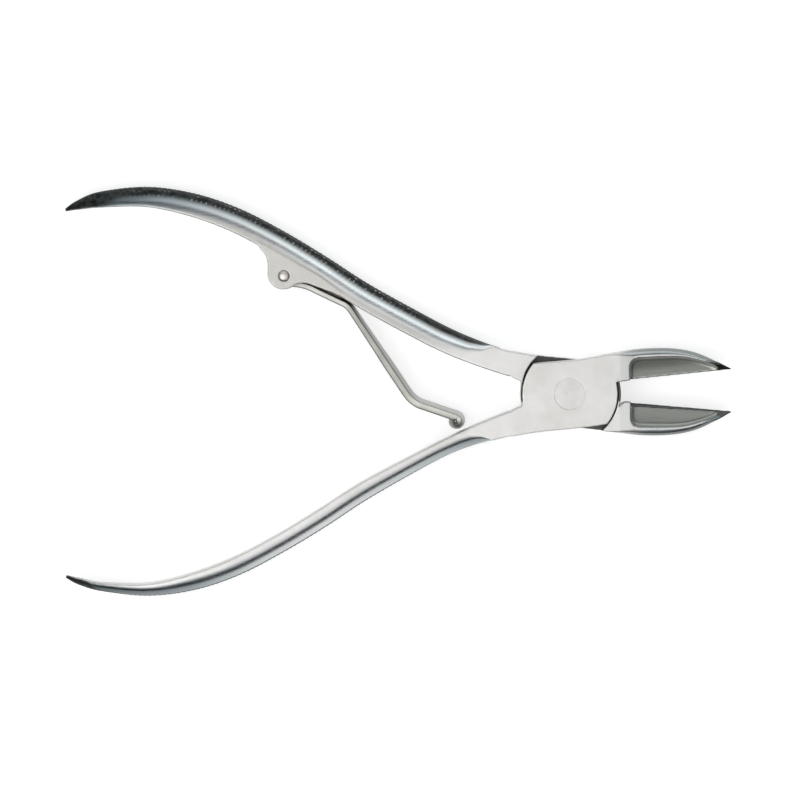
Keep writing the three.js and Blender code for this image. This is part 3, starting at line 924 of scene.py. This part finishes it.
def spring_steel():
    """Painted shade along one side of the strip, towards its bottom and on the broad faces of its root.
    Darker down its leg and in the roll at its end.
    """
    m = Material("spring_steel")
    lie = m.attribute("lie", "Vector")
    brushed = m.noise(m.stretched(lie, (0.4, 3.0, 9.0)), 1.0, 4.0)
    cloud = m.noise(m.place(), 300.0, 3.0)
    face = m.blend(m.grade(brushed, 0.3, 0.7), color(0.33, 0.33, 0.305), color(0.47, 0.465, 0.43))
    face = m.blend(m.grade(cloud, 0.4, 0.7, 0.0, 0.45), face, color(0.25, 0.25, 0.23))
    face = m.blend(m.attribute("broad"), face, color(0.42, 0.42, 0.40))
    face = m.blend(1.0, face, m.mix(m.attribute("leg"), 1.0, 0.66), "MULTIPLY")
    split = m.node("ShaderNodeSeparateXYZ", {0: lie})
    # Painted shade along one side of the strip and towards its bottom.
    near = m.grade(split.outputs["Y"], -0.95, -0.5, 0.75, 0.0)
    near = m.math("MULTIPLY", near, m.math("SUBTRACT", 1.0, m.attribute("broad")))
    lower = m.grade(split.outputs["Z"], 2.0, 2.7, 0.75, 0.0)
    shade = m.blend(m.math("MAXIMUM", near, lower), face, color(0.12, 0.12, 0.11))
    # The roll, and the painted shade on the root's broad faces.
    shade = m.blend(m.attribute("roll"), shade, color(0.10, 0.10, 0.09))
    m.feed(m.shader.inputs["Base Color"], shade)
    m.feed(m.shader.inputs["Roughness"], m.grade(brushed, 0.3, 0.7, 0.26, 0.40))
    m.feed(m.shader.inputs["Normal"], m.bump(brushed, 0.3, 0.00002))
    return m.material


def floor_white():
    m = Material("floor_white")
    m.shader.inputs["Metallic"].default_value = 0.0
    cloud = m.noise(m.place(), 3.0, 2.0)
    m.feed(m.shader.inputs["Base Color"], m.blend(cloud, color(0.60, 0.60, 0.60), color(0.62, 0.62, 0.62)))
    m.shader.inputs["Roughness"].default_value = 0.9
    m.shader.inputs["Specular IOR Level"].default_value = 0.1
    m.shader.inputs["Emission Color"].default_value = color(1.0, 1.0, 1.0)
    m.shader.inputs["Emission Strength"].default_value = 0.66
    return m.material


# ---------------------------------------------------------------- pieces

lever_material = lever_steel()
for lever_name in LEVERS:
    node = LEVERS[lever_name]["node"]
    low, high = box_mm(node)
    piece = lever_object(lever_name + "_lever_steel", Lever(lever_name), low, high)
    piece.data.materials.append(lever_material)
    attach(piece, node)
    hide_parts(node)

pivot = turned_object("pivot_rivet_head", pivot_profile(), (0.0, 0.0))
pivot.data.materials.append(rivet_steel())
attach(pivot, "front_lever")
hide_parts("pivot_rivet")

pin = turned_object("spring_pin", pin_profile(), PIN_CENTRE, 48)
pin.data.materials.append(pin_steel())
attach(pin, "rear_lever")
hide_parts("spring_rivet")

spring = spring_object("return_spring")
spring.data.materials.append(spring_steel())
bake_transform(spring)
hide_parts("spring_root", "spring_leaf")

# ---------------------------------------------------------------- floor, light and camera, in metres

VIEW_CENTRE = Vector((-0.034, -0.0012, THICKNESS * MM))
VIEW_WIDTH = 0.160
VIEW_DISTANCE = 1.3
VIEW_TILT = math.radians(2.0)
FLOOR_SIZE = 3.0
FLOOR_DROP = 0.00002  # so that the floor and the flat underside aren't in one plane


def floor_sheet():
    place = (0, 0, -FLOOR_DROP)
    bpy.ops.mesh.primitive_grid_add(x_subdivisions=8, y_subdivisions=8, size=FLOOR_SIZE, location=place)
    floor = bpy.context.object
    floor.name = "floor"
    floor.data.materials.append(floor_white())


def soft_light(name, place, target, width, height, power, tint=(1, 1, 1)):
    data = bpy.data.lights.new(name, "AREA")
    data.shape = "RECTANGLE"
    data.size, data.size_y = width, height
    data.energy = power
    data.color = tint
    light = bpy.data.objects.new(name, data)
    light.location = place
    light.rotation_euler = (Vector(target) - Vector(place)).to_track_quat("-Z", "Y").to_euler()
    light.visible_camera = False
    bpy.context.scene.collection.objects.link(light)


def world_light():
    """Pale at the horizon, dark just above it, so that the round backs show a line, and paler overhead."""
    world = bpy.data.worlds.new("studio")
    world.use_nodes = True
    tree = world.node_tree
    background = tree.nodes["Background"]
    where = tree.nodes.new("ShaderNodeTexCoord")
    split = tree.nodes.new("ShaderNodeSeparateXYZ")
    ramp = tree.nodes.new("ShaderNodeValToRGB")
    tree.links.new(where.outputs["Generated"], split.inputs[0])
    tree.links.new(split.outputs["Z"], ramp.inputs[0])
    tree.links.new(ramp.outputs[0], background.inputs[0])
    stops = ramp.color_ramp.elements
    stops[0].position, stops[0].color = 0.0, (0.9, 0.9, 0.9, 1)
    stops[1].position, stops[1].color = 1.0, (0.55, 0.55, 0.545, 1)
    levels = ((0.015, 0.9), (0.05, 0.04), (0.3, 0.04), (0.5, 0.15), (0.75, 0.24), (0.9, 0.3))
    for position, level in levels:
        stop = stops.new(position)
        stop.color = (level, level, level * 1.02, 1)
    background.inputs[1].default_value = 1.0
    bpy.context.scene.world = world


floor_sheet()
world_light()
soft_light("overhead", (-0.03, -0.2, 0.8), VIEW_CENTRE, 1.1, 0.9, 1.9)
soft_light("window", (-0.05, 0.62, 0.31), VIEW_CENTRE, 1.0, 0.46, 1.6, (0.93, 0.98, 1.0))
soft_light("key", (-0.45, -0.2, 0.9), VIEW_CENTRE, 0.8, 0.8, 3.0)

camera_data = bpy.data.cameras.new("camera")
camera_data.sensor_width = 36
camera_data.lens = camera_data.sensor_width * VIEW_DISTANCE / VIEW_WIDTH
camera_data.clip_end = 10
camera = bpy.data.objects.new("camera", camera_data)
camera.location = VIEW_CENTRE + VIEW_DISTANCE * Vector((0, math.sin(VIEW_TILT), math.cos(VIEW_TILT)))
camera.rotation_euler = (-VIEW_TILT, 0, 0)
bpy.context.scene.collection.objects.link(camera)
bpy.context.scene.camera = camera
bpy.context.scene.view_settings.view_transform = "Standard"
